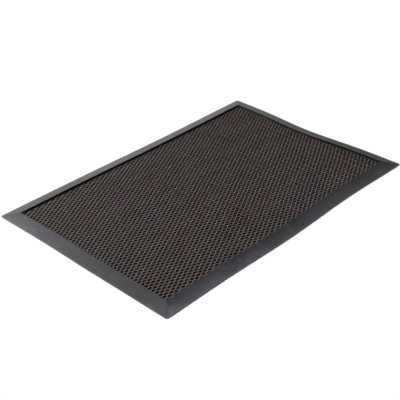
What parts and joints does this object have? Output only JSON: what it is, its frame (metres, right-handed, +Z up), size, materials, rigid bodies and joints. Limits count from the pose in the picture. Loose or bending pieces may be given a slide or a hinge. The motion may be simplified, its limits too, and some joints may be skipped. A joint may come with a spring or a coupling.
{
  "type": "door mat",
  "caption": "Rectangular open-web door mat: wavy plastic strands fused into a grid of lens-shaped holes, in a mitred frame of ramped edging strips.",
  "frame": {"origin": "middle of the mat, on the floor", "axes": "+X along the long side, +Y along the short side towards the back strip, +Z up"},
  "size_m": [0.6, 0.4, 0.0072],
  "materials": {
    "edging": "satin charcoal grey flexible plastic, fine moulded grain",
    "web_strand": "warm dark grey extruded vinyl, satin",
    "adhesive": "cured black adhesive"
  },
  "bodies": {
    "root": {"edge_strip_front": "edging", "edge_strip_right": "edging", "edge_strip_back": "edging", "edge_strip_left": "edging", "web_strand_pair_01": "web_strand", "web_strand_pair_02": "web_strand", "web_strand_pair_03": "web_strand", "web_strand_pair_04": "web_strand", "web_strand_pair_05": "web_strand", "web_strand_pair_06": "web_strand", "web_strand_pair_07": "web_strand", "web_strand_pair_08": "web_strand", "web_strand_pair_09": "web_strand", "web_strand_pair_10": "web_strand", "web_strand_pair_11": "web_strand", "web_strand_pair_12": "web_strand", "web_strand_pair_13": "web_strand", "web_strand_pair_14": "web_strand", "web_strand_pair_15": "web_strand", "web_strand_pair_16": "web_strand", "web_strand_pair_17": "web_strand", "web_strand_pair_18": "web_strand", "web_strand_pair_19": "web_strand", "web_strand_pair_20": "web_strand", "web_strand_pair_21": "web_strand", "web_strand_pair_22": "web_strand", "web_strand_pair_23": "web_strand", "web_strand_pair_24": "web_strand", "web_strand_pair_25": "web_strand", "web_strand_pair_26": "web_strand", "web_strand_pair_27": "web_strand", "web_strand_pair_28": "web_strand", "web_strand_pair_29": "web_strand", "web_strand_pair_30": "web_strand", "web_strand_pair_31": "web_strand", "web_strand_pair_32": "web_strand", "web_strand_pair_33": "web_strand", "web_strand_pair_34": "web_strand", "web_strand_pair_35": "web_strand", "web_strand_pair_36": "web_strand", "web_strand_pair_37": "web_strand", "web_strand_pair_38": "web_strand", "web_strand_pair_39": "web_strand", "web_strand_pair_40": "web_strand", "web_strand_pair_41": "web_strand", "web_strand_pair_42": "web_strand", "web_strand_pair_43": "web_strand", "web_strand_pair_44": "web_strand", "web_strand_pair_45": "web_strand", "adhesive_bead_front": "adhesive", "adhesive_bead_back": "adhesive", "adhesive_bead_left": "adhesive", "adhesive_bead_right": "adhesive"}
  },
  "joints": []
}
